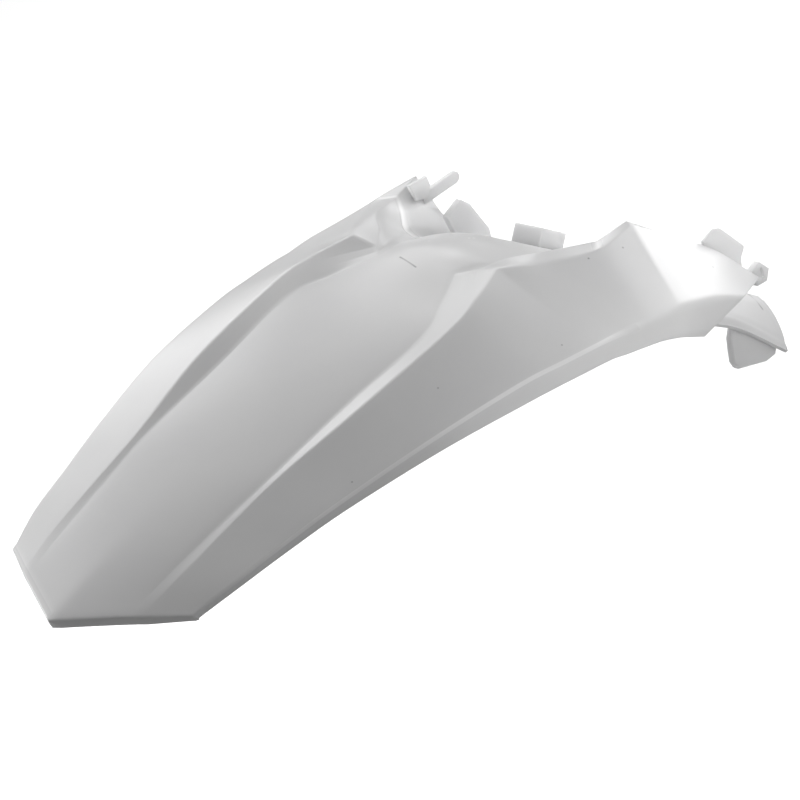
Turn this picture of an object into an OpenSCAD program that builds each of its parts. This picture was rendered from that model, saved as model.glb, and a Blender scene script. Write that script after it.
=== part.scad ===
/* [Tail] */
// Length of the centre line from the tail tip to the seat notch
tail_length = 372; // [300:1:440]
// Width across the two corners of the tail end
tail_end_w = 170; // [130:1:200]
// How far the tail corners stand ahead of the tip
tail_vee = 44; // [20:1:60]
// Depth of the rim folded down along the tail end
rim_depth = 8; // [4:0.5:14]
// Height of the centre line at its highest, above the tip
tail_rise = 19; // [8:0.5:30]
// Thickness of the moulded wall
wall = 2.6; // [2:0.1:3.4]

/* [Centre panel and shoulders] */
// Full width of the recessed centre panel at its widest
panel_w = 130; // [110:1:140]
// Width of the centre panel where it meets the seat notch
notch_w = 75; // [60:1:90]
// Full width across the two shoulder crests at their widest
shoulder_w = 164; // [150:1:176]
// Height of the shoulder crest above the edge of the centre panel
shoulder_step = 5; // [2:0.5:8]

/* [Skirts] */
// Length of the rail beside the seat, from the notch to its front corner
rail_length = 113; // [100:1:120]
// Full width over the folded hems at their widest
hem_w = 336; // [310:1:350]
// Width of the hem band below its crease, seen from above
hem_band = 6; // [4:0.5:10]
// How far the right skirt reaches ahead of the seat corner
skirt_reach = 99; // [70:1:120]
// How far the right skirt drops below the seat corner
skirt_drop = 110; // [90:1:130]
// Width of the flange turned in along the top of each rail
rail_flange = 5; // [4:0.5:8]

/* [Inner guard] */
// Width of the inner guard between the folds of its two cheeks
guard_w = 124; // [114:1:130]
// Length forward of the inner guard, from the seat notch to its lower end
guard_reach = 270; // [240:1:290]
// Drop of the lower end of the inner guard below the tail tip
guard_drop = 203; // [180:1:220]

/* [Fixing bosses] */
// Distance between the two front bolts
bolt_gap = 80; // [60:1:96]
// Diameter of the bolt holes, for M6
bolt_d = 6.6; // [6:0.1:8]
// Outer diameter of the bosses
boss_d = 18; // [14:0.5:20]
// Length of the bosses through the guard
boss_length = 24; // [20:1:30]

/* [Mounted attitude] */
// Angle by which the tail rises towards the rear when the fender is mounted
tail_pitch = 12; // [0:1:20]

/* [Hidden] */

// Stations run from the tail end, 0, over the widest point of the centre panel, 5, to the
// seat notch, 7, down the scoop, 8 and 9, along the rail beside the seat to its front corner,
// 11, and on to the front ends of the skirt and the guard, 14
tail_share = [0, 0.135, 0.28, 0.42, 0.615, 0.815, 0.92, 1];
vee_fade = [1, 0.51, 0.15, 0, 0, 0, 0, 0];
tail_half = tail_end_w / 2;
seat_x = tail_length;
corner_x = seat_x + rail_length;
corner_z = -8;
tab_t = 3;
drop_tab_y = 86;
finger_y = 88;
finger_t = 5;
finger_fall = 7;
finger_w = 9.5;
finger_length = 36;
finger_root = [9, 10.3];
guard_tab_y = 61;
clip_y = 24.5;
clip_size = [29, 27, 14];
clip_root = 4;
clip_web = 2;
clip_web_x = 9;
tongue_y = 105;
hook_y = 108.5;
hook_slot = [4.5, 0.5];
hook_slot_size = [2.6, 9];
lug_y = 84;
lug_w = 6;
mount_share = [0.77, 0.675];
mount_x = seat_x + mount_share[0] * guard_reach;
mount_z = -mount_share[1] * guard_drop;
boss_centre = [mount_x * cos(tail_pitch) + mount_z * sin(tail_pitch) + boss_length / 2, 0,
               mount_z * cos(tail_pitch) - mount_x * sin(tail_pitch)];
rail_lift = 2.5;
rim_lean = 3.5;
bump_fade = 0.8;
bump_start = 9;
hem_lip = 9.5;
hem_lip_end = 6;
cheek_bow = 4;
vee_angle = atan2(tail_vee, tail_half);
guard_scale = guard_w / 124;
rail_scale = rail_length / 113;
hem_scale = hem_w / 336;
reach = skirt_reach;
drop = skirt_drop;

// A point of a guide line on the tail: station, half width, height and extra lead
function tail_point(i, half, high, lead = 0) =
    [tail_share[i] * tail_length + tail_vee * vee_fade[i] * half / tail_half + lead, half, high];
// Points ahead of the notch, given from the notch
function ahead(list) = [for (p = list) [seat_x + p[0] * rail_scale, p[1], p[2]]];
// Points of the guard as shares of its reach and of its drop below the tail tip
function guard(list) = [for (p = list) [seat_x + p[0] * guard_reach, p[1] * guard_scale, -p[2] * guard_drop]];
// Points of the skirt as shares of its reach and drop ahead of the rail's front corner
function skirt(list) = [for (p = list) [corner_x + p[0] * reach, p[1], corner_z - p[2] * drop]];

centre_share = [0, 0.34, 0.6, 0.79, 0.95, 1, 0.97, 0.93];
centre_line = concat(
    [for (i = [0:7]) tail_point(i, 0, centre_share[i] * tail_rise)],
    ahead([[18, 0, 15], [40, 0, 7], [64, 0, -5], [98, 0, -35]]),
    guard([[0.585, 0, 0.43], [0.8, 0, 0.67], [1.03, 0, 0.93]])
);

panel_half = [for (s = [0.77, 0.815, 0.865, 0.92, 0.943, 1, 0.777]) s * panel_w / 2];
panel_high = [-1, 4, 8.5, 12.4, 14.6, 16.3, 14.3, 12.4];
panel_edge = concat(
    [for (i = [0:6]) tail_point(i, panel_half[i], panel_high[i])],
    [tail_point(7, notch_w / 2, panel_high[7])],
    ahead([[21, 46, 4], [36, 52, -4], [62, 59.5, -21], [106, 63, -60]]),
    guard([[0.585, 63, 0.49], [0.8, 64, 0.715], [0.98, 65, 0.905]])
);

crest_half = [for (s = [0.68, 0.73, 0.76, 0.805, 0.943, 1, 0.94, 0.81]) s * shoulder_w / 2];
crest_lift = [-0.1, 0, 0.1, 0.2, 0.9, 0.75, 1.2, 1.25];
crest_lead = [0, 0, 0, 0, 2, 13, 6, 10];
crest = concat(
    [for (i = [0:7]) tail_point(i, crest_half[i], panel_high[i] + crest_lift[i] * shoulder_step,
                                crest_lead[i])],
    ahead([[19.5, 77, 17], [32, 91, 12.5], [72, 103, 0]]),
    skirt([[-0.03, 102, -0.018], [0.33, 104.5, 0.28], [0.68, 109, 0.6], [1, 115, 1]])
);

// The stripe between panel and crest is cut in four on the tail. Ahead of the notch its three
// lines part into the foot, the middle and the top of the wall beside the seat, and beyond the
// wall the first two become the fold and the hem along the cheek of the guard
function between(a, b, s) = a + (b - a) * s;
rail_edge = concat(
    [for (i = [0:6]) between(panel_edge[i], crest[i], 0.66)],
    ahead([[11, 46.5, 11.5], [29, 59.5, 12], [47, 78, 9.5], [80, 93, 0]]),
    [for (i = [11:14]) crest[i] + [0.5, -rail_flange, i == 11 ? rail_lift : -1]]
);
wall_top = concat(
    [for (i = [0:6]) between(panel_edge[i], crest[i], 0.3)],
    ahead([[6, 42, 11], [25, 52, 7], [42, 62.5, 1], [69, 78.5, -18], [115, 84, -36]])
);
cheek_fold = concat(wall_top, guard([[0.55, 82, 0.505], [0.775, 84.5, 0.79], [0.952, 86, 1.075]]));
cheek_hem = concat(
    [for (i = [0:11]) between(wall_top[i], rail_edge[i], 0.5)],
    [for (i = [12:14]) cheek_fold[i] + between(hem_lip, hem_lip_end, i / 2 - 6) * [-0.26, 0.33, -1]]
);

// Both lines of the hem spread in proportion to the width over the hems
function spread(list) = [for (p = list) [p[0], p[1] * hem_scale, p[2]]];
crease_half = [for (s = [0.52, 0.583, 0.632, 0.697, 0.8, 0.875, 0.913, 0.938]) s * (hem_w / 2 - hem_band)];
crease_high = [-5, -0.5, 2, 4.1, 3.5, -4, -11.5, -17.8];
crease = concat(
    [for (i = [0:7]) tail_point(i, crease_half[i], crease_high[i])],
    spread(ahead([[18.5, 154, -22.3], [33, 157.3, -25.8], [53, 160.3, -31], [74.5, 161, -37.9]])),
    spread(skirt([[-0.15, 157.5, 0.382], [0.142, 150.5, 0.555], [0.475, 143, 0.77]]))
);

hem_out = [2, 2.2, 2.8, 3.3, 4.8, 6.6, 6.6, 7];
hem_down = [3.5, 3.9, 4.7, 5.6, 8.1, 11.5, 11.6, 11.6];
hem = concat(
    [for (i = [0:7]) crease[i] + [0, hem_out[i], -hem_down[i]]],
    spread(ahead([[14, 162, -33.3], [27.5, 165.5, -36.7], [42, 168, -41.6], [58.5, 168, -50.9]])),
    spread(skirt([[-0.442, 167, 0.457], [-0.322, 165, 0.534], [-0.236, 163.5, 0.589]]))
);

// Smooth curve through the stations of one guide line, at station t
function catmull(a, b, c, d, s) =
    0.5 * (2 * b + (c - a) * s + (2 * a - 5 * b + 4 * c - d) * s * s
           + (3 * b - a - 3 * c + d) * s * s * s);
function along(line, t) =
    let (last = len(line) - 1, i = min(floor(t), last - 1), s = t - i,
         b = line[i], c = line[i + 1],
         a = i > 0 ? line[i - 1] : 2 * b - c,
         d = i < last - 1 ? line[i + 2] : 2 * c - b)
    catmull(a, b, c, d, s);

// Rows: how many steps each stretch between stations is cut into
row_steps = [3, 3, 3, 4, 5, 4, 4, 4, 4, 4, 5, 3, 4, 5];
last_station = len(row_steps);
rows = concat([for (i = [0:last_station - 1]) for (k = [0:row_steps[i] - 1]) i + k / row_steps[i]],
              [last_station]);
rail_end = 11;
cheek_start = 12;

// Columns of one half, from the centre line out: the guide line's number and the share beyond it
guides = [centre_line, panel_edge, cheek_fold, cheek_hem, rail_edge, crest, crease, hem];
col_steps = [4, 2, 1, 1, 2, 4, 2];
last_guide = len(col_steps);
half_cols = concat([for (g = [0:last_guide - 1]) for (k = [0:col_steps[g] - 1]) g + k / col_steps[g]],
                   [last_guide]);
// The rail's corner stands out of the crest, and dies out down the panel under it
function crest_bump(t) =
    let (r = min(1, last_station - t))
    min(t - bump_start, 1) * bump_fade
    * (2 * along(crest, t) - along(crest, t - r) - along(crest, t + r)) / 4;
function cheek_share(t) = max(t - cheek_start, 0) / (last_station - cheek_start);
function half_point(t, v) =
    let (g = min(floor(v), last_guide - 1), s = v - g, a = along(guides[g], t), b = along(guides[g + 1], t))
    g == 0 ? [a[0] + (b[0] - a[0]) * s, b[1] * s, a[2] + (b[2] - a[2]) * s * s]
    : g == 1 ? between(a, b, s) + [cheek_bow * 4 * s * (1 - s) * cheek_share(t), 0, 0]
    : g == 5 && t > bump_start ? between(a, b, s) - (1 - s - pow(1 - s, 3)) * crest_bump(t)
    : between(a, b, s);
half_count = len(half_cols);
cols = concat([for (j = [half_count - 1:-1:1]) [half_cols[j], 1]], [for (v = half_cols) [v, -1]]);
function skin_point(t, c) =
    let (p = half_point(t, c[0])) [p[0], p[1] * c[1], p[2]];

// Tail rim: one extra row folded down square to the tail end, running out into the hems
function rim_share(v) = v > 6 ? 0.8 - 0.65 * (v - 6) : v > 5 ? 1 - 0.2 * (v - 5) : 1;
rim_row = [for (c = cols) skin_point(0, c) + rim_share(c[0])
           * [-rim_lean * cos(vee_angle), rim_lean * sin(vee_angle) * c[1] * sign(c[0]), -rim_depth]];
outer = concat([rim_row], [for (t = rows) [for (c = cols) skin_point(t, c)]]);
row_count = len(outer);
col_count = len(cols);

// The inner face lies one wall thickness under the outer one
function unit(v) = norm(v) > 0 ? v / norm(v) : [0, 0, 1];
function normal_at(i, j) =
    let (i0 = max(i - 1, 0), i1 = min(i + 1, row_count - 1),
         j0 = max(j - 1, 0), j1 = min(j + 1, col_count - 1))
    unit(cross(outer[i1][j] - outer[i0][j], outer[i][j0] - outer[i][j1]));
inner = [for (i = [0:row_count - 1]) [for (j = [0:col_count - 1]) outer[i][j] - wall * normal_at(i, j)]];

// Which cells of the sheet exist: all of them up to the rail's end. Ahead of it only the guard,
// its two cheeks and, on the right, the skirt
function column_group(j) =
    let (v = min(cols[j][0], cols[j + 1][0]), right = cols[j][1] < 0 || cols[j + 1][1] < 0)
    v < 1 ? "guard" : v < 3 ? "cheek" : v >= 4 && right ? "skirt" : "none";
groups = [for (j = [0:col_count - 2]) column_group(j)];
function has_cell(i, j) =
    i >= 0 && j >= 0 && i < row_count - 1 && j < col_count - 1
    && (i == 0 || rows[i - 1] < rail_end || groups[j] == "guard" || groups[j] == "skirt"
        || (groups[j] == "cheek" && rows[i - 1] >= cheek_start));

function id(i, j) = i * col_count + j;
layer = row_count * col_count;
function quad(a, b, c, d) = [[a, c, b], [a, d, c]];
shell_faces = [for (i = [0:row_count - 2]) for (j = [0:col_count - 2]) if (has_cell(i, j)) each concat(
    quad(id(i, j), id(i, j + 1), id(i + 1, j + 1), id(i + 1, j)),
    quad(layer + id(i, j), layer + id(i + 1, j), layer + id(i + 1, j + 1), layer + id(i, j + 1)),
    has_cell(i - 1, j) ? [] : quad(id(i, j + 1), id(i, j), layer + id(i, j), layer + id(i, j + 1)),
    has_cell(i + 1, j) ? [] : quad(id(i + 1, j), id(i + 1, j + 1),
                                   layer + id(i + 1, j + 1), layer + id(i + 1, j)),
    has_cell(i, j - 1) ? [] : quad(id(i, j), id(i + 1, j), layer + id(i + 1, j), layer + id(i, j)),
    has_cell(i, j + 1) ? [] : quad(id(i + 1, j + 1), id(i, j + 1),
                                   layer + id(i, j + 1), layer + id(i + 1, j + 1))
)];

module moulded_sheet() {
    polyhedron(points = [each for (r = outer) r, each for (r = inner) r], faces = shell_faces, convexity = 8);
}

// Outlines of the plates, set out from the point they stand on, or as shares of the skirt or guard
function from_point(p, list) = [for (q = list) [p[0] + q[0], p[1] + q[1]]];
function on_skirt(list) = [for (q = list) [corner_x + q[0] * reach, corner_z - q[1] * drop]];
function on_guard(list) = [for (q = list) [seat_x + q[0] * guard_reach, -q[1] * guard_drop]];
rail_corner = [corner_x, corner_z];
skirt_corner = rail_corner + [reach, -drop];
tab_foot = [panel_edge[11][0], panel_edge[11][2]];

// A plate standing in the lengthwise plane, cut to an outline of [x, z] points
module plate(outline, y0, y1) {
    rotate([90, 0, 0])
        translate([0, 0, -y1])
            linear_extrude(height = y1 - y0)
                polygon(outline);
}

// Left rail: the drop tab at its front corner and the round-ended finger that reaches ahead
module left_tabs() {
    plate(from_point(rail_corner, [[-22, 10], [-19, -5], [-8, -10], [-1, -3], [-2, 6]]),
          drop_tab_y, drop_tab_y + tab_t);
    translate([corner_x - finger_root[0], finger_y, corner_z - finger_root[1]])
        rotate([0, finger_fall, 0]) {
            translate([0, 0, -finger_w / 2])
                cube([finger_length, finger_t, finger_w]);
            translate([finger_length, finger_t, 0])
                rotate([90, 0, 0])
                    cylinder(h = finger_t, d = finger_w, $fn = 32);
        }
}

// Tab standing on the left side of the guard, ahead of the wall beside the seat
module guard_tab() {
    plate(from_point(tab_foot, [[-10, 36], [8, 40], [15, 32], [27, 2], [26, -16], [0, -14]]),
          guard_tab_y, guard_tab_y + 2 * tab_t);
}

// Hollow clip box square to the guard, open at its top, with a web across it
module clip_box() {
    foot = between(centre_line[11], centre_line[12], 0.5);
    fall = centre_line[12] - centre_line[11];
    translate([foot[0], clip_y, foot[2]])
        rotate([0, atan2(-fall[2], fall[0]), 0])
            difference() {
                translate([0, -clip_size[1] / 2, -clip_root])
                    cube([clip_size[0], clip_size[1], clip_size[2] + clip_root]);
                for (x = [[tab_t, clip_web_x], [clip_web_x + clip_web, clip_size[0] - tab_t]])
                    translate([x[0], -clip_size[1] / 2 + tab_t, clip_root])
                        cube([x[1] - x[0], clip_size[1] - 2 * tab_t, clip_size[2]]);
            }
}

// Right skirt: the flat tongue on its front edge and the hook at its front corner
module skirt_tabs() {
    plate(on_skirt([[0.576, 0.555], [0.576, 0.473], [0.717, 0.455], [0.788, 0.491], [0.939, 0.682],
                    [1, 0.764], [0.939, 0.818], [0.919, 0.9], [0.758, 0.727]]),
          -tongue_y - tab_t, -tongue_y);
    difference() {
        plate(from_point(skirt_corner, [[-6, 8], [4, 11], [13, -1], [8, -9], [-4, -6]]),
              -hook_y - 2 * tab_t, -hook_y);
        translate([skirt_corner[0] + hook_slot[0], -hook_y - tab_t, skirt_corner[1] + hook_slot[1]])
            cube([hook_slot_size[0], 3 * tab_t, hook_slot_size[1]], center = true);
    }
}

// Lug hanging under the right cheek's hem
module guard_lug() {
    plate(on_guard([[0.77, 0.813], [0.744, 0.862], [0.737, 0.916], [0.733, 0.961], [0.744, 1],
                    [0.867, 1.081], [0.911, 1.089], [0.926, 1.054], [0.826, 0.877]]),
          -lug_y, -lug_y + lug_w);
}

// Everything moulded in the tail's own attitude
module body() {
    moulded_sheet();
    left_tabs();
    guard_tab();
    clip_box();
    skirt_tabs();
    guard_lug();
}

// Two round bars along X, ending ahead of the boss faces by the given amount
module bolt_bars(d, over) {
    for (side = [-1, 1])
        translate([-boss_length - over, side * bolt_gap / 2, 0])
            rotate([0, 90, 0])
                cylinder(h = boss_length + 2 * over, d = d, $fn = 48);
}

module rear_fender() {
    color("white") difference() {
        union() {
            translate(-boss_centre)
                rotate([0, tail_pitch, 0])
                    body();
            bolt_bars(boss_d, 0);
        }
        bolt_bars(bolt_d, 5);
    }
}

rear_fender();
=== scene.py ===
import math

import bpy
import numpy as np
from mathutils import Matrix


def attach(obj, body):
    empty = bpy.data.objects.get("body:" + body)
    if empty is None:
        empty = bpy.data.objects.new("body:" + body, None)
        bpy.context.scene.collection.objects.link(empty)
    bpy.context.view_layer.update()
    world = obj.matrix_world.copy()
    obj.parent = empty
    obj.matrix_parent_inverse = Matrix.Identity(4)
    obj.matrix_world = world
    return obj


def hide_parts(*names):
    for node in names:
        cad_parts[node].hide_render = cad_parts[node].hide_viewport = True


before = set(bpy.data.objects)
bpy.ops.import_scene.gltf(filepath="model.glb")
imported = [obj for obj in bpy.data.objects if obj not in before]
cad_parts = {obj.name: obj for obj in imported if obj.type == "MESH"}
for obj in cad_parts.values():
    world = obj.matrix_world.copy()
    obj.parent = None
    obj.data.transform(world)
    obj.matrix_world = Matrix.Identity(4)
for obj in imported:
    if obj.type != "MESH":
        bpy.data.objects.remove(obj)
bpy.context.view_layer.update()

# Sizes are in millimetres in the tail's own frame: x forward from the tail tip, y to the left, z up.
# The row frame is in metres, with its origin midway between the two bolt holes.
MM = 0.001
TAIL_PITCH = math.radians(12)
WALL = 2.6
TAIL_LENGTH = 372.0
TAIL_VEE = 44.0
TAIL_HALF = 85.0
CORNER = (485.0, -8.0)
GUARD = (270.0, 203.0)
MOUNT = (TAIL_LENGTH + 0.77 * GUARD[0], -0.675 * GUARD[1])
SKIRT = (99.0, 110.0)
BOLT_SPACING = 80.0
BOLT_RADIUS = 3.3
BOSS_RADIUS = 9.0
BOSS_LENGTH = 24.0


def tail_to_row(points):
    """Points in the tail's frame, in millimetres, as points of the row frame in metres."""
    p = np.asarray(points, float)
    c, s = math.cos(TAIL_PITCH), math.sin(TAIL_PITCH)
    x = p[..., 0] * c + p[..., 2] * s
    z = p[..., 2] * c - p[..., 0] * s
    x0 = MOUNT[0] * c + MOUNT[1] * s + BOSS_LENGTH / 2
    z0 = MOUNT[1] * c - MOUNT[0] * s
    return np.stack([(x - x0) * MM, p[..., 1] * MM, (z - z0) * MM], -1)


# Guide lines. Stations 0 to 7 lie on the tail, 8 to 11 ahead of it, 12 to 14 on the guard or the skirt.

TAIL_SHARE = (0, 0.135, 0.28, 0.42, 0.615, 0.815, 0.92, 1)
VEE_FADE = (1, 0.51, 0.15, 0, 0, 0, 0, 0)


def tail(halves, heights, leads=None):
    """Stations of a guide line on the tail from half widths, heights and extra leads."""
    leads = leads or [0] * len(halves)
    return [
        (TAIL_SHARE[i] * TAIL_LENGTH + TAIL_VEE * VEE_FADE[i] * h / TAIL_HALF + leads[i], h, z)
        for i, (h, z) in enumerate(zip(halves, heights))
    ]


def ahead(points):
    """Points counted from the end of the tail."""
    return [(TAIL_LENGTH + x, y, z) for x, y, z in points]


def guard(points):
    """Points as shares of the inner guard's reach and fall, with y in millimetres."""
    return [(TAIL_LENGTH + x * GUARD[0], y, -z * GUARD[1]) for x, y, z in points]


def skirt(points):
    """Points as shares of the skirt's length and fall from the rail's corner, with y in millimetres."""
    return [(CORNER[0] + x * SKIRT[0], y, CORNER[1] - z * SKIRT[1]) for x, y, z in points]


def between(a, b, s):
    """The line that lies at share s of the way from line a to line b."""
    return [tuple(np.asarray(p) * (1 - s) + np.asarray(q) * s) for p, q in zip(a, b)]


def shift(points, moves):
    return [tuple(np.add(p, m)) for p, m in zip(points, moves)]


def guide_lines():
    """The eight guide lines of one half, centre to hem, each at stations 0 to 14."""
    lines = [centre_line(), panel_line()]
    crest = crest_line()
    lines += wall_lines(lines[1], crest) + [crest]
    lines += hem_lines()
    return [np.array(line, float) for line in lines]


def centre_line():
    rise = 19.0
    line = tail([0] * 8, [rise * s for s in (0, 0.34, 0.6, 0.79, 0.95, 1, 0.97, 0.93)])
    line += ahead([(18, 0, 15), (40, 0, 7), (64, 0, -5), (98, 0, -35)])
    return line + guard([(0.585, 0, 0.43), (0.8, 0, 0.67), (1.03, 0, 0.93)])


PANEL_HALF, CREST_HALF, HEM_HALF = 65, 82, 162
PANEL_HEIGHTS = (-1, 4, 8.5, 12.4, 14.6, 16.3, 14.3, 12.4)


def panel_line():
    """The edge of the recessed centre panel."""
    half = [s * PANEL_HALF for s in (0.77, 0.815, 0.865, 0.92, 0.943, 1, 0.777)] + [37.5]
    line = tail(half, PANEL_HEIGHTS)
    line += ahead([(21, 46, 4), (36, 52, -4), (62, 59.5, -21), (106, 63, -60)])
    return line + guard([(0.585, 63, 0.49), (0.8, 64, 0.715), (0.98, 65, 0.905)])


def crest_line():
    """The shoulder crest, which ends as the skirt's upper edge."""
    lift = (-0.1, 0, 0.1, 0.2, 0.9, 0.75, 1.2, 1.25)
    half = [s * CREST_HALF for s in (0.68, 0.73, 0.76, 0.805, 0.943, 1, 0.94, 0.81)]
    heights = [h + 5 * s for h, s in zip(PANEL_HEIGHTS, lift)]
    line = tail(half, heights, (0, 0, 0, 0, 2, 13, 6, 10))
    line += ahead([(21, 75, 15.2), (37, 87, 8.5), (72, 103, 0)])
    return line + skirt([(-0.03, 102, -0.018), (0.33, 104.5, 0.28), (0.68, 109, 0.6), (1, 115, 1)])


def wall_lines(panel, crest):
    """Foot, middle and top of the wall beside the seat; on the tail the three run along the stripe."""
    top = between(panel[:7], crest[:7], 0.66)
    top += ahead([(11, 46.5, 11.5), (29, 59.5, 12), (47, 78, 9.5), (83, 92.5, -3)])
    top += shift(crest[11:], [(0.5, -5, 2.5)] + [(0.5, -5, -1)] * 3)
    foot = between(panel[:7], crest[:7], 0.3)
    foot += ahead([(6, 42, 11), (25, 52, 7), (42, 62.5, 1), (66, 77.5, -18), (115, 78, -48)])
    foot += guard([(0.55, 82, 0.505), (0.775, 84.5, 0.79), (0.952, 86, 1.075)])
    middle = between(foot, top[:12], 0.5)[:10] + ahead([(77, 86, -11), (116, 89, -37)])
    middle += shift(foot[12:], [(-0.26 * h, 0.33 * h, -h) for h in (9.5, 7.75, 6)])
    return [foot, middle, top]


def hem_lines():
    """The crease above the hem band, and the hem."""
    half = [s * HEM_HALF for s in (0.52, 0.583, 0.632, 0.697, 0.8, 0.875, 0.913, 0.938)]
    crease = tail(half, (-5, -0.5, 2, 4.1, 3.5, -4, -11.5, -17.8))
    crease += ahead([(18.5, 154, -22.3), (33, 157.3, -25.8), (53, 160.3, -31), (74.5, 161, -37.9)])
    crease += skirt([(-0.15, 157.5, 0.382), (0.142, 150.5, 0.555), (0.475, 143, 0.77)])
    out = (2, 2.2, 2.8, 3.3, 4.8, 6.6, 6.6, 7)
    down = (3.5, 3.9, 4.7, 5.6, 8.1, 11.5, 11.6, 11.6)
    hem = shift(crease[:8], [(0, o, -d) for o, d in zip(out, down)])
    hem += ahead([(14, 162, -33.3), (27.5, 165.5, -36.7), (42, 168, -41.6), (58.5, 168, -50.9)])
    return [crease, hem + skirt([(-0.416, 164, 0.481), (-0.272, 159, 0.582), (-0.166, 155, 0.657)])]


def along(line, t, corners=()):
    """A smooth curve through the stations, at the stations t, with a corner at those named."""
    last = len(line) - 1
    i = np.minimum(np.floor(t).astype(int), last - 1)
    s = (t - i)[:, None]
    ext = np.vstack([2 * line[0] - line[1], line, 2 * line[-1] - line[-2]])
    a, b, c, d = ext[i], ext[i + 1], ext[i + 2], ext[i + 3]
    for k in corners:
        a = np.where((i == k)[:, None], 2 * b - c, a)
        d = np.where((i == k - 1)[:, None], 2 * c - b, d)
    return 0.5 * (2 * b + (c - a) * s + (2 * a - 5 * b + 4 * c - d) * s**2
                  + (3 * b - a - 3 * c + d) * s**3)


# The moulded sheet

RAIL_END, CHEEK_START, LAST = 11, 12, 14
# Rows of the mesh from each station to the next
STEPS = (9, 9, 9, 12, 15, 12, 12, 12, 12, 12, 15, 9, 12, 14)
# Width of the rounding at each guide line, by station
FOLD = {
    1: ((0, 3.5), (6.5, 3.5), (8, 8), (11, 8), (12, 4), (14, 4)),
    2: ((0, 0.5), (7, 1), (9, 6), (11, 5), (12, 3), (14, 3)),
    3: ((0, 0.5), (7, 1), (14, 1.5)),
    4: ((0, 0.5), (6.5, 0.5), (7.5, 1.6), (14, 1.6)),
    5: ((0, 2), (4, 2), (7, 3), (8, 4), (9, 4), (10, 2), (11, 1.2), (14, 2)),
    6: ((0, 1.2), (2, 1.8), (7, 2.2), (8, 3), (10, 5), (14, 7)),
}
# Stations at which a guide line has a corner
CORNERS = {1: (7, 10), 2: (7, 10), 3: (7, 10), 4: (7, 10, 11), 5: (7, 11)}
# Columns of the mesh between each guide line and the next
SPANS = (10, 6, 3, 3, 4, 14, 4)
FOLD_STEPS = 5
CHEEK_BOW = 4.0
# How far the crest leaves a smooth course at stations 6 to 11
CREST_SHIFT = ((0, 0, 0), (-6, 6, -1), (-2, 4, -1), (0, 1, 0), (0, 0, -1), (0, 1, -5))
CENTRE_SPAN, CHEEK_SPAN, SIDE_SPAN, HEM_SPAN = 0, 1, 5, 6
TINY = 1e-6


def section(rows):
    """Each row's points from the centre line to the hem, with rounded folds, and the span of each."""
    guides = [along(g, rows, CORNERS.get(k, ())) for k, g in enumerate(guide_lines())]
    points, spans = [], []
    for g in range(len(SPANS)):
        if g:
            points += fold_points(g, rows, guides)
            spans += [g - 1 if k < FOLD_STEPS / 2 else g for k in range(1, FOLD_STEPS)]
        points += span_points(g, rows, guides)
        spans += [g] * (SPANS[g] + 1)
    return np.stack(points, 1), spans


def fold_points(g, rows, guides):
    """The rounding at guide line g, from its start on the span before to its end on the span after."""
    before, line, after = guides[g - 1:g + 2]
    back, on = distance(before, line), distance(line, after)
    first = line + (before - line) * fold_width(g, rows, back) / np.maximum(back, TINY)
    last = line + (after - line) * fold_width(g, rows, on) / np.maximum(on, TINY)
    shares = [k / FOLD_STEPS for k in range(1, FOLD_STEPS)]
    return [first * (1 - s) ** 2 + 2 * line * s * (1 - s) + last * s**2 for s in shares]


def span_points(g, rows, guides):
    """The points between guide lines g and g + 1, short of the rounding at each."""
    a, b = guides[g:g + 2]
    length = distance(a, b)
    start = fold_width(g, rows, length) / np.maximum(length, TINY)
    end = 1 - fold_width(g + 1, rows, length) / np.maximum(length, TINY)
    points = []
    for k in range(SPANS[g] + 1):
        s = start + (end - start) * k / SPANS[g]
        p = a + (b - a) * s
        if g == CENTRE_SPAN:
            p[:, 2] = a[:, 2] + (b[:, 2] - a[:, 2]) * s[:, 0] ** 2
        if g == CHEEK_SPAN:
            ahead_share = np.maximum(rows - CHEEK_START, 0) / (LAST - CHEEK_START)
            p[:, 0] += CHEEK_BOW * 4 * s[:, 0] * (1 - s[:, 0]) * ahead_share
        if g == SIDE_SPAN:
            p += crest_dent(rows) * (1 - s) * ((1 - s) ** 2 - 1)
        points.append(p)
    return points


def distance(a, b):
    return np.linalg.norm(b - a, axis=1)[:, None]


def crest_dent(rows):
    """The crest's dent at the notch and its drop at the rail, which die out down the side panel."""
    shifts = np.zeros((LAST + 1, 3))
    shifts[6:12] = CREST_SHIFT
    return -along(shifts, rows)


def fold_width(g, rows, length):
    """How far a fold's rounding reaches from the guide line, at most 45% of the span."""
    if g not in FOLD:
        return np.zeros_like(length)
    t, w = zip(*FOLD[g])
    return np.minimum(np.interp(rows, t, w)[:, None], 0.45 * length)


def sheet_rows():
    """The station of each row of the mesh."""
    rows = [i + k / n for i, n in enumerate(STEPS) for k in range(n)] + [float(LAST)]
    return np.array(rows)


# The rim at the tail end: how far it leans out and falls, and how far its fold lies behind the sheet
RIM_OUT, RIM_FALL = 3.5, 7.4
RIM_FOLD = (-4.0, 0, -0.5)
RIM_INWARD = 1.6
RIM_NEAR = 0.22
RIM_SHARE = ((0, 55.8, 84.2, 86.2), (1, 1, 0.6, 0.15))
RIM_TURN = 3.0


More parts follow.
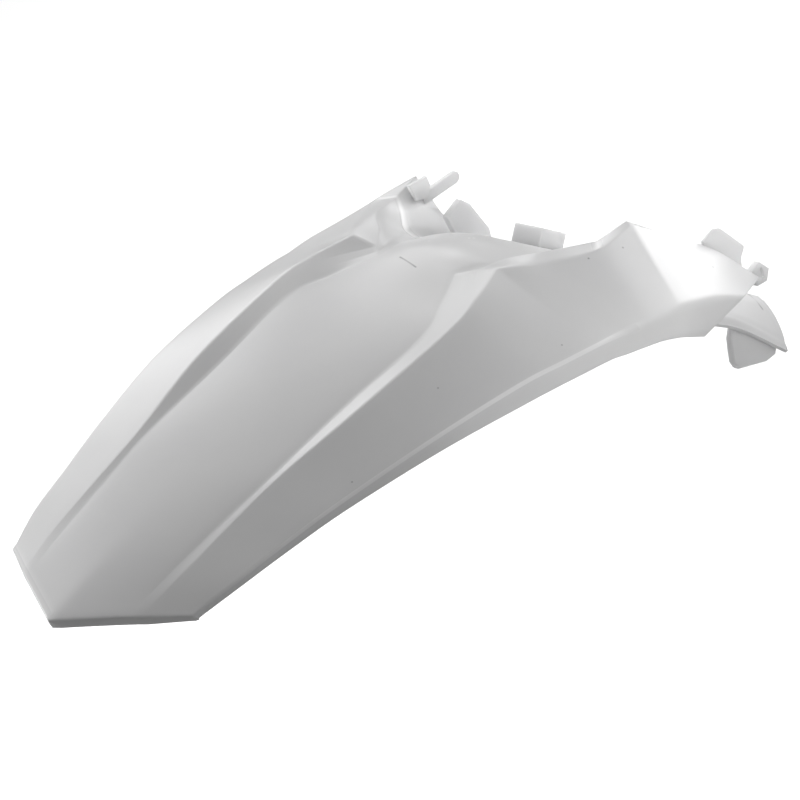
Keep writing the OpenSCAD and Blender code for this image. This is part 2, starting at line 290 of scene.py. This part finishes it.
def rim_rows(first, second):
    """Rows of the rim folded down at the tail end, from its lower edge up to the sheet."""
    y = np.abs(first[:, 1])
    share = np.interp(y, *RIM_SHARE)[:, None]
    vee = math.atan2(TAIL_VEE, TAIL_HALF)
    turn = np.sign(first[:, 1]) * np.minimum(y / RIM_TURN, 1)
    whole = np.ones_like(y)
    lean = np.stack([-RIM_OUT * math.cos(vee) * whole, RIM_OUT * math.sin(vee) * turn, -RIM_FALL * whole], 1)
    low = first + lean * share
    fold = first + np.array(RIM_FOLD) * share
    inward = second - fold
    inward *= RIM_INWARD / np.linalg.norm(inward, axis=1)[:, None]
    near = fold + (low - fold) * RIM_NEAR
    bend = [near * (1 - s) ** 2 + 2 * fold * s * (1 - s) + (fold + inward) * s**2
            for s in (0, 0.25, 0.5, 0.75, 1)]
    return [low, low + (near - low) * 0.5] + bend


def has_cell(station, span, right):
    """Whether the sheet is there: past the rails only the guard, its cheeks and the right skirt go on."""
    if station < RAIL_END or span == CENTRE_SPAN:
        return True
    if span in (1, 2):
        return station >= CHEEK_START
    return right and span >= 4


def sheet_grid():
    """The points of the sheet on a grid, left hem to right hem, and each row's station and column's span."""
    rows = sheet_rows()
    half, spans = section(rows)
    grid = np.concatenate([half[:, :0:-1], half * np.array([1, -1, 1])], 1)
    rim = rim_rows(grid[0], grid[1])
    grid = np.concatenate([np.stack(rim), grid[1:]])
    stations = np.concatenate([np.zeros(len(rim)), rows[1:]])
    return grid, stations, spans


def sheet_faces(stations, spans):
    both = spans[:0:-1] + spans
    count, middle = len(both), len(spans) - 1
    faces = []
    for i in range(len(stations) - 1):
        for j in range(count - 1):
            if has_cell(stations[i], min(both[j], both[j + 1]), j >= middle):
                k = i * count + j
                faces.append((k, k + 1, k + count + 1, k + count))
    return faces


def moulded_sheet(material):
    """The fender's skin: one sheet given its wall, with the share of gloss and painted highlight on each
    point.
    """
    grid, stations, spans = sheet_grid()
    faces = sheet_faces(stations, spans)
    piece = mesh_piece("fender_shell", grid.reshape(-1, 3), faces, material)
    # The edge attribute holds where a highlight is painted and the gloss is raised.
    edge = piece.data.attributes.new("edge", "FLOAT", "POINT")
    gloss_and_highlight = gloss_and_highlight_edges(stations, spans, grid[..., 1])
    edge.data.foreach_set("value", gloss_and_highlight.ravel()[np.unique(faces)])
    solid = piece.modifiers.new("wall", "SOLIDIFY")
    solid.thickness = WALL * MM
    solid.offset = -1
    round_edges(piece, 0.7, 2)
    return piece


# Share of painted highlight and gloss by station along the hem's crease and across the corner of the wall
# beside the seat
CREASE_GLOSS_AND_HIGHLIGHT = ((0, 1, 2, 7, 8, 9.5), (0.3, 0.6, 1, 1, 0.6, 0))
WALL_GLOSS_AND_HIGHLIGHT = ((9.85, 10, 10.15), (0, 1, 0))
# The left half of the rim, where light falls, gets a painted highlight; the right half gets little.
LEFT_RIM_GLOSS_AND_LIGHT, RIGHT_RIM_GLOSS_AND_LIGHT = 1.0, 0.2


def gloss_and_highlight_edges(stations, spans, y):
    """1 on the edges that get a painted highlight and more gloss: the hem's crease, the wall's corner and the
    left half of the rim.
    """
    hem = spans.index(HEM_SPAN)
    reach = FOLD_STEPS // 2
    crease = np.array([float(hem - reach <= k < hem + reach) for k in range(len(spans))])
    wall = np.array([float(CHEEK_SPAN <= span < SIDE_SPAN) for span in spans])
    crease, wall = (np.concatenate([half[:0:-1], half]) for half in (crease, wall))
    share = np.maximum(np.interp(stations, *CREASE_GLOSS_AND_HIGHLIGHT)[:, None] * crease,
                       np.interp(stations, *WALL_GLOSS_AND_HIGHLIGHT)[:, None] * wall)
    rim = len(stations) - len(sheet_rows()) + 1
    # Painted light: the rim's left half, which the light falls on, is made paler than its right half.
    share[:rim] = np.where(y[:rim] > 0, LEFT_RIM_GLOSS_AND_LIGHT, RIGHT_RIM_GLOSS_AND_LIGHT)
    share[rim - 2:rim] *= 0.3
    return share.astype(np.float32)


# Pieces and their edges


def mesh_piece(name, points, faces, material):
    """A smooth object from points in the tail's frame; points that no face uses are left out."""
    used = sorted({v for face in faces for v in face})
    number = {v: k for k, v in enumerate(used)}
    return add_object(name, tail_to_row(points)[used], [[number[v] for v in face] for face in faces], material)


def add_object(name, points, faces, material):
    """A smooth object from points in the row frame."""
    data = bpy.data.meshes.new(name)
    data.from_pydata([tuple(p) for p in points], [], faces)
    data.validate()
    data.update()
    data.materials.append(material)
    for polygon in data.polygons:
        polygon.use_smooth = True
    piece = bpy.data.objects.new(name, data)
    bpy.context.scene.collection.objects.link(piece)
    return piece


def round_edges(piece, width, segments, angle=50):
    """Round the edges sharper than the angle, in degrees, to the width, in millimetres."""
    bevel = piece.modifiers.new("rounding", "BEVEL")
    bevel.width = width * MM
    bevel.segments = segments
    bevel.limit_method = "ANGLE"
    bevel.angle_limit = math.radians(angle)
    bevel.use_clamp_overlap = True


def plate(name, outline, y0, y1, material, width=0.8):
    """A plate standing in the lengthwise plane, cut to an outline of (x, z) points."""
    n = len(outline)
    points = [(x, y0, z) for x, z in outline] + [(x, y1, z) for x, z in outline]
    area = sum(outline[i][0] * outline[(i + 1) % n][1] - outline[(i + 1) % n][0] * outline[i][1]
               for i in range(n))
    ring = list(range(n)) if area > 0 else list(range(n))[::-1]
    faces = [tuple(ring), tuple(i + n for i in reversed(ring))]
    faces += [(ring[(k + 1) % n], ring[k], ring[k] + n, ring[(k + 1) % n] + n) for k in range(n)]
    piece = mesh_piece(name, points, faces, material)
    round_edges(piece, width, 3, 20)
    return piece


# Looks

DARK_PLASTIC, LIGHT_PLASTIC = (0.765, 0.765, 0.77, 1), (0.80, 0.80, 0.80, 1)
# The white laid on the shining edges is a painted highlight; the dark colour serves the dark specks and
# painted shade along two lines.
PAINTED_HIGHLIGHT, PALE_MARK, DARK_MARK_AND_PAINTED_SHADE = (1, 1, 1, 1), (1, 1, 1, 1), (0.32, 0.32, 0.33, 1)
PLAIN_ROUGHNESS, POLISHED_ROUGHNESS = 0.3, 0.15
PLASTIC_IOR = 1.48
THIN_REACH = 0.008

# The dark lines are painted shade, along a short crease across the centre at the tail's end and a groove on
# the right cheek; the specks are marks. All lie in the row frame, in metres. Lines have a start, an end and a
# width.
PAINTED_SHADE_LINES = (
    ((-0.1839, 0.0129, 0.1941), (-0.1905, -0.0076, 0.1963), 0.0010),
    ((0.0261, -0.0628, -0.0483), (0.0239, -0.0727, -0.0590), 0.0012),
)
DARK_SPECKS = (
    ((-0.1287, -0.1035, 0.1651), 0.0011),
    ((-0.1038, -0.1110, 0.1518), 0.0011),
    ((-0.0499, -0.1254, 0.0794), 0.0010),
    ((-0.3808, -0.1088, 0.2247), 0.0009),
    ((-0.2881, -0.1059, 0.2100), 0.0009),
    ((-0.2079, -0.1377, 0.1734), 0.0009),
)
PALE_SPECKS = (
    ((-0.1373, -0.0047, 0.1695), 0.0014),
    ((-0.1350, -0.0068, 0.1676), 0.0014),
    ((-0.1562, 0.0127, 0.1816), 0.0014),
)


VECTOR, NUMBER, COLOUR = "NodeSocketVector", "NodeSocketFloat", "NodeSocketColor"


def node_group(name, inputs, outputs):
    """An empty shader node group with its sockets, and the nodes that hand them in and out."""
    group = bpy.data.node_groups.new(name, "ShaderNodeTree")
    for socket, kind in inputs:
        group.interface.new_socket(socket, in_out="INPUT", socket_type=kind)
    for socket, kind in outputs:
        group.interface.new_socket(socket, in_out="OUTPUT", socket_type=kind)
    return group, group.nodes.new("NodeGroupInput"), group.nodes.new("NodeGroupOutput")


def line_mask():
    """Node group: 1 on the line from Start to End, falling to 0 at Width from it."""
    group, given, result = node_group(
        "line_mask", (("Position", VECTOR), ("Start", VECTOR), ("End", VECTOR), ("Width", NUMBER)),
        (("Mask", NUMBER),))
    nodes, links = group.nodes, group.links

    def vector(operation, a, b, output=0):
        node = nodes.new("ShaderNodeVectorMath")
        node.operation = operation
        links.new(a, node.inputs[0])
        links.new(b, node.inputs["Scale" if operation == "SCALE" else 1])
        return node.outputs[output]

    reach = vector("SUBTRACT", given.outputs["Position"], given.outputs["Start"])
    line = vector("SUBTRACT", given.outputs["End"], given.outputs["Start"])
    share = nodes.new("ShaderNodeMath")
    share.operation = "DIVIDE"
    share.use_clamp = True
    links.new(vector("DOT_PRODUCT", reach, line, "Value"), share.inputs[0])
    links.new(vector("DOT_PRODUCT", line, line, "Value"), share.inputs[1])
    foot = vector("SCALE", line, share.outputs[0])
    fall = nodes.new("ShaderNodeMapRange")
    links.new(vector("DISTANCE", reach, foot, "Value"), fall.inputs["Value"])
    links.new(given.outputs["Width"], fall.inputs["From Max"])
    fall.inputs["To Min"].default_value = 1
    fall.inputs["To Max"].default_value = 0
    links.new(fall.outputs["Result"], result.inputs["Mask"])
    return group


def noise(group, place, scale, detail):
    node = group.nodes.new("ShaderNodeTexNoise")
    node.inputs["Scale"].default_value = scale
    node.inputs["Detail"].default_value = detail
    group.links.new(place, node.inputs["Vector"])
    return node.outputs["Fac"]


def laid_over(group, colour, shade, mask):
    mix = group.nodes.new("ShaderNodeMix")
    mix.data_type = "RGBA"
    group.links.new(mask, mix.inputs["Factor"])
    group.links.new(colour, mix.inputs["A"])
    mix.inputs["B"].default_value = shade
    return mix.outputs["Result"]


def moulded_surface():
    """Node group: white in soft patches, with lower roughness and a painted highlight on the shining edges,
    its specks, painted shade along two lines, and ripple.
    """
    group, given, result = node_group(
        "moulded_surface",
        (("Position", VECTOR), ("Gloss And Painted Highlight", NUMBER), ("Dark Marks And Painted Shade", NUMBER), ("Pale Marks", NUMBER)),
        (("Color", COLOUR), ("Roughness", NUMBER), ("Height", NUMBER)))
    place, gloss_and_highlight = given.outputs["Position"], given.outputs["Gloss And Painted Highlight"]
    tint = group.nodes.new("ShaderNodeValToRGB")
    dark, light = tint.color_ramp.elements
    dark.position, dark.color = 0.35, DARK_PLASTIC
    light.position, light.color = 0.65, LIGHT_PLASTIC
    group.links.new(noise(group, place, scale=9, detail=3), tint.inputs["Fac"])
    # Painted highlight on the shining edges.
    colour = laid_over(group, tint.outputs["Color"], PAINTED_HIGHLIGHT, gloss_and_highlight)
    # Dark specks, and painted shade along two lines.
    colour = laid_over(group, colour, DARK_MARK_AND_PAINTED_SHADE, given.outputs["Dark Marks And Painted Shade"])
    colour = laid_over(group, colour, PALE_MARK, given.outputs["Pale Marks"])
    gloss = group.nodes.new("ShaderNodeMapRange")
    gloss.inputs["To Min"].default_value = PLAIN_ROUGHNESS
    gloss.inputs["To Max"].default_value = POLISHED_ROUGHNESS
    group.links.new(gloss_and_highlight, gloss.inputs["Value"])
    group.links.new(colour, result.inputs["Color"])
    group.links.new(gloss.outputs["Result"], result.inputs["Roughness"])
    group.links.new(noise(group, place, scale=55, detail=2), result.inputs["Height"])
    return group


def specks(points):
    """Specks as lines that end where they start."""
    return tuple((point, point, width) for point, width in points)


def largest_line_mask(material, place, mask, lines):
    """The largest of the masks of some small lines and specks."""
    nodes, links = material.node_tree.nodes, material.node_tree.links
    total = None
    for start, end, width in lines:
        node = nodes.new("ShaderNodeGroup")
        node.node_tree = mask
        links.new(place, node.inputs["Position"])
        node.inputs["Start"].default_value = start
        node.inputs["End"].default_value = end
        node.inputs["Width"].default_value = width
        if total is None:
            total = node.outputs["Mask"]
            continue
        largest = nodes.new("ShaderNodeMath")
        largest.operation = "MAXIMUM"
        links.new(total, largest.inputs[0])
        links.new(node.outputs["Mask"], largest.inputs[1])
        total = largest.outputs[0]
    return total


def plastic(name, surface):
    """Glossy moulded plastic, its surface group and the place it is read at."""
    material = bpy.data.materials.new(name)
    material.use_nodes = True
    nodes, links = material.node_tree.nodes, material.node_tree.links
    place = nodes.new("ShaderNodeTexCoord").outputs["Object"]
    made = nodes.new("ShaderNodeGroup")
    made.node_tree = surface
    links.new(place, made.inputs["Position"])
    bump = nodes.new("ShaderNodeBump")
    bump.inputs["Strength"].default_value = 0.03
    bump.inputs["Distance"].default_value = 0.001
    links.new(made.outputs["Height"], bump.inputs["Height"])
    shader = nodes["Principled BSDF"]
    links.new(made.outputs["Color"], shader.inputs["Base Color"])
    links.new(made.outputs["Roughness"], shader.inputs["Roughness"])
    links.new(bump.outputs["Normal"], shader.inputs["Normal"])
    shader.inputs["IOR"].default_value = PLASTIC_IOR
    return material, made, place


def sheet_plastic(surface):
    """The plastic of the moulded sheet, with a painted highlight and more gloss on its shining edges, its
    specks and painted shade along two lines.
    """
    material, made, place = plastic("moulded_white_plastic", surface)
    nodes, links = material.node_tree.nodes, material.node_tree.links
    edge = nodes.new("ShaderNodeAttribute")
    edge.attribute_name = "edge"
    # The edge attribute drives the painted highlight and the gloss.
    links.new(edge.outputs["Fac"], made.inputs["Gloss And Painted Highlight"])
    mask = line_mask()
    # Dark specks, and painted shade along a short crease across the centre and a groove on the right cheek.
    links.new(largest_line_mask(material, place, mask, PAINTED_SHADE_LINES + specks(DARK_SPECKS)), made.inputs["Dark Marks And Painted Shade"])
    links.new(largest_line_mask(material, place, mask, specks(PALE_SPECKS)), made.inputs["Pale Marks"])
    return material


def thin_plastic(surface):
    """The same plastic on the tabs and other thin parts, which let light through."""
    material = plastic("thin_white_plastic", surface)[0]
    shader = material.node_tree.nodes["Principled BSDF"]
    shader.inputs["Subsurface Weight"].default_value = 1.0
    shader.inputs["Subsurface Radius"].default_value = (1, 1, 1)
    shader.inputs["Subsurface Scale"].default_value = THIN_REACH
    return material


# The studio

AMBIENT = 0.02
FLOOR_Z, FLOOR_HALF, FLOOR_GLOW = -0.55, 4, 0.8
# Lamps by name, azimuth and elevation in the tail's frame, and power in watts
FAR_AIM, FAR_DISTANCE, FAR_SIZE = np.array([330.0, 0, -20]), 1700.0, 0.9
FAR_LAMPS = (
    ("left_low", 108, 12, 7.2), ("left_front", 72, 12, 6.7), ("rear_high", 178, 38, 4.6),
    ("left_high", 58, 38, 3.4), ("left_side", 98, 38, 5.2), ("rear_low", 120, -10, 4.5),
    ("right_low", 280, -8, 4.2),
)
NEAR_AIM, NEAR_DISTANCE, NEAR_SIZE = np.array([530.0, -60, -30]), 480.0, 0.3
NEAR_LAMPS = (
    ("near_front", 0, 0, 1.0), ("near_right", 270, 18, 0.6), ("near_key", 330, 30, 0.6),
    ("near_high", 35, 40, 0.35), ("near_top", 280, 62, 0.4), ("near_left", 60, 30, 0.45),
)
# The camera's place and its right and forward directions, in the tail's frame
CAMERA_AT = np.array([-704.5, -1239.7, 1021.3])
CAMERA_RIGHT = np.array([0.6185, -0.7409, -0.2616])
CAMERA_FORWARD = np.array([0.5277, 0.6383, -0.5604])


def floor_finish():
    """A matt pale floor that looks nearly white to the camera and still shows a shadow."""
    material = bpy.data.materials.new("pale_floor")
    material.use_nodes = True
    nodes, links = material.node_tree.nodes, material.node_tree.links
    shader = nodes["Principled BSDF"]
    shader.inputs["Base Color"].default_value = (0.9, 0.9, 0.9, 1)
    shader.inputs["Roughness"].default_value = 0.9
    shader.inputs["Specular IOR Level"].default_value = 0
    glow = nodes.new("ShaderNodeEmission")
    glow.inputs["Strength"].default_value = FLOOR_GLOW
    rays = nodes.new("ShaderNodeLightPath")
    add = nodes.new("ShaderNodeAddShader")
    mix = nodes.new("ShaderNodeMixShader")
    links.new(shader.outputs["BSDF"], add.inputs[0])
    links.new(glow.outputs["Emission"], add.inputs[1])
    links.new(rays.outputs["Is Camera Ray"], mix.inputs["Fac"])
    links.new(shader.outputs["BSDF"], mix.inputs[1])
    links.new(add.outputs["Shader"], mix.inputs[2])
    links.new(mix.outputs["Shader"], nodes["Material Output"].inputs["Surface"])
    return material


def floor():
    data = bpy.data.meshes.new("floor")
    corners = ((-1, -1), (1, -1), (1, 1), (-1, 1))
    data.from_pydata([(x * FLOOR_HALF, y * FLOOR_HALF, FLOOR_Z) for x, y in corners], [], [(0, 1, 2, 3)])
    data.materials.append(floor_finish())
    ground = bpy.data.objects.new("floor", data)
    bpy.context.scene.collection.objects.link(ground)


def backdrop():
    """White where the camera looks past the floor, and faint light for everything else."""
    world = bpy.data.worlds.new("studio")
    bpy.context.scene.world = world
    world.use_nodes = True
    nodes, links = world.node_tree.nodes, world.node_tree.links
    back = nodes["Background"]
    rays = nodes.new("ShaderNodeLightPath")
    level = nodes.new("ShaderNodeMix")
    level.inputs["A"].default_value = AMBIENT
    level.inputs["B"].default_value = 1.0
    links.new(rays.outputs["Is Camera Ray"], level.inputs["Factor"])
    links.new(level.outputs["Result"], back.inputs["Strength"])
    back.inputs["Color"].default_value = (1, 1, 1, 1)


def softbox(name, azimuth, elevation, power, aim, away, size):
    """A square area lamp turned to its aim, a distance away from it."""
    a, e = math.radians(azimuth), math.radians(elevation)
    at = aim + away * np.array([math.cos(a) * math.cos(e), math.sin(a) * math.cos(e), math.sin(e)])
    lamp = bpy.data.lights.new(name, "AREA")
    lamp.size = size
    lamp.energy = power
    place, target = tail_to_row([at, aim])
    back = (place - target) / np.linalg.norm(place - target)
    side = np.cross((0, 0, 1), back)
    side /= np.linalg.norm(side)
    add_turned(name, lamp, side, np.cross(back, side), back, place)


def add_turned(name, data, right, up, back, place):
    """A lamp or camera whose own axes point right, up and back."""
    obj = bpy.data.objects.new(name, data)
    bpy.context.scene.collection.objects.link(obj)
    rows = [(right[i], up[i], back[i], place[i]) for i in range(3)]
    obj.matrix_world = Matrix(rows + [(0, 0, 0, 1)])
    return obj


def camera():
    lens = bpy.data.cameras.new("camera")
    lens.lens = 126
    lens.sensor_width = 36
    lens.clip_end = 50
    eye, beside, before = tail_to_row([CAMERA_AT, CAMERA_AT + CAMERA_RIGHT, CAMERA_AT + CAMERA_FORWARD])
    right = (beside - eye) / np.linalg.norm(beside - eye)
    forward = (before - eye) / np.linalg.norm(before - eye)
    right -= forward * np.dot(right, forward)
    right /= np.linalg.norm(right)
    bpy.context.scene.camera = add_turned("camera", lens, right, np.cross(right, forward), -forward, eye)


# The small parts


def from_point(point, outline):
    """An outline of (x, z) points counted from a point."""
    return [(point[0] + x, point[1] + z) for x, z in outline]


def on_skirt(shares):
    """An outline of shares of the skirt's length and fall."""
    return [(CORNER[0] + x * SKIRT[0], CORNER[1] - z * SKIRT[1]) for x, z in shares]


def on_guard(shares):
    """An outline of shares of the inner guard's reach and fall."""
    return [(TAIL_LENGTH + x * GUARD[0], -z * GUARD[1]) for x, z in shares]


def drop_tab(material):
    """The tab that hangs from the left rail's corner."""
    outline = from_point(CORNER, [(-22, 10), (-19, -5), (-8, -10), (-1, -3), (-2, 6)])
    return plate("drop_tab", outline, 86, 89, material)


def rail_finger(material):
    """The round-ended finger ahead of the left rail's corner."""
    a = math.radians(7)
    forward, up = np.array([math.cos(a), -math.sin(a)]), np.array([math.sin(a), math.cos(a)])
    start, length, r = np.array([CORNER[0] - 9, CORNER[1] - 10.3]), 36.0, 4.75
    outline = [start - up * r]
    for k in range(13):
        b = -math.pi / 2 + math.pi * k / 12
        outline.append(start + forward * (length + r * math.cos(b)) + up * r * math.sin(b))
    outline.append(start + up * r)
    return plate("rail_finger", [tuple(p) for p in outline], 88, 93, material, 1.2)


def guard_tab(material):
    """The tab that stands on the left edge of the inner guard."""
    foot = (TAIL_LENGTH + 106, -60)
    outline = from_point(foot, [(-10, 36), (8, 40), (15, 32), (27, 2), (26, -16), (0, -14)])
    return plate("guard_tab", outline, 61, 67, material)


def skirt_tongue(material):
    """The tongue at the front of the right skirt."""
    outline = on_skirt([(0.576, 0.555), (0.576, 0.473), (0.717, 0.455), (0.788, 0.491), (0.939, 0.682),
                        (1, 0.764), (0.939, 0.818), (0.919, 0.9), (0.758, 0.727)])
    return plate("skirt_tongue", outline, -108, -105, material)


def guard_lug(material):
    """The lug under the right cheek of the inner guard."""
    outline = on_guard([(0.77, 0.813), (0.744, 0.862), (0.737, 0.916), (0.733, 0.961), (0.744, 1),
                        (0.867, 1.081), (0.911, 1.089), (0.926, 1.054), (0.826, 0.877)])
    return plate("guard_lug", outline, -84, -78, material, 1.5)


def skirt_hook(material):
    """The plate at the skirt's front corner, with its upright slot."""
    corner = (CORNER[0] + SKIRT[0], CORNER[1] - SKIRT[1])
    outline = from_point(corner, [(-6, 8), (4, 11), (13, -1), (8, -9), (-4, -6)])
    slot = from_point(corner, [(3.2, 5), (5.8, 5), (5.8, -4), (3.2, -4)])
    ring = outline + slot
    points = [(x, y, z) for y in (-114.5, -108.5) for x, z in ring]
    front = [(0, 1, 6, 5), (1, 2, 7, 6), (2, 3, 7), (3, 4, 8, 7), (4, 0, 5, 8)]
    n = len(ring)
    faces = [f[::-1] for f in front] + [tuple(i + n for i in f) for f in front]
    for loop in ((0, 1, 2, 3, 4), (8, 7, 6, 5)):
        for k, a in enumerate(loop):
            b = loop[(k + 1) % len(loop)]
            faces.append((a, b, b + n, a + n))
    piece = mesh_piece("skirt_hook", points, faces, material)
    round_edges(piece, 0.7, 3, 20)
    return piece


def clip_box(material):
    """Hollow box square to the guard, open at its top, with a web across it."""
    centre = guide_lines()[0]
    foot, fall = (centre[11] + centre[12]) / 2, centre[12] - centre[11]
    fall /= np.linalg.norm(fall)
    out = np.array([-fall[2], 0, fall[0]])
    base = np.array([foot[0], 24.5, foot[2]])
    length, half, height, wall = 29.0, 13.5, 14.0, 3.0

    def at(f, s, o):
        return base + fall * f + np.array([0, s, 0]) + out * o

    stops = (0, wall, 9, 11, length - wall, length)
    points, faces = [], []
    for o in (-4.0, 4.0, height):
        for f in stops:
            points += [at(f, s, o) for s in (-half, wall - half, half - wall, half)]

    def v(level, i, j):
        return level * 24 + i * 4 + j

    for i in range(5):
        for j in range(3):
            faces.append((v(0, i, j), v(0, i, j + 1), v(0, i + 1, j + 1), v(0, i + 1, j)))
            pocket = i in (1, 3) and j == 1
            top = 1 if pocket else 2
            faces.append((v(top, i, j), v(top, i + 1, j), v(top, i + 1, j + 1), v(top, i, j + 1)))
            if pocket:
                rim = [(i, j), (i, j + 1), (i + 1, j + 1), (i + 1, j)]
                for k in range(4):
                    a, b = rim[k], rim[(k + 1) % 4]
                    faces.append((v(1, *a), v(1, *b), v(2, *b), v(2, *a)))
    edge = [(i, 0) for i in range(6)] + [(5, j) for j in (1, 2, 3)]
    edge += [(i, 3) for i in (4, 3, 2, 1, 0)] + [(0, j) for j in (2, 1)]
    for k, a in enumerate(edge):
        b = edge[(k + 1) % len(edge)]
        faces.append((v(0, *a), v(0, *b), v(2, *b), v(2, *a)))
    piece = mesh_piece("clip_box", points, faces, material)
    round_edges(piece, 0.9, 3, 20)
    return piece


def boss(name, y, material):
    """A round boss with a through hole along x, its face in the plane of the row frame's origin."""
    sides = 64
    profile = ((0, BOLT_RADIUS), (0, BOSS_RADIUS - 0.6), (-0.6, BOSS_RADIUS), (0.6 - BOSS_LENGTH, BOSS_RADIUS),
               (-BOSS_LENGTH, BOSS_RADIUS - 0.6), (-BOSS_LENGTH, BOLT_RADIUS))
    turns = [2 * math.pi * k / sides for k in range(sides)]
    points = [(x, y + r * math.cos(a), r * math.sin(a)) for x, r in profile for a in turns]
    faces = []
    for i in range(len(profile)):
        j = (i + 1) % len(profile)
        for k in range(sides):
            m = (k + 1) % sides
            faces.append((i * sides + k, i * sides + m, j * sides + m, j * sides + k))
    piece = add_object(name, [tuple(c * MM for c in p) for p in points], faces, material)
    round_edges(piece, 0.3, 2, 40)
    return piece


def dress():
    """The sheet in place of the plain solid, and the small parts on it."""
    surface = moulded_surface()
    shell = moulded_sheet(sheet_plastic(surface))
    thin = thin_plastic(surface)
    parts = [make(thin) for make in (drop_tab, rail_finger, guard_tab, skirt_tongue, guard_lug, skirt_hook,
                                     clip_box)]
    parts += [boss("boss_right", -BOLT_SPACING / 2, thin), boss("boss_left", BOLT_SPACING / 2, thin)]
    for piece in [shell] + parts:
        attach(piece, "root")
    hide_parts("rear_fender")


def studio():
    floor()
    backdrop()
    for lamp in FAR_LAMPS:
        softbox(*lamp, FAR_AIM, FAR_DISTANCE, FAR_SIZE)
    for lamp in NEAR_LAMPS:
        softbox(*lamp, NEAR_AIM, NEAR_DISTANCE, NEAR_SIZE)
    camera()
    bpy.context.scene.view_settings.view_transform = "Standard"


dress()
studio()
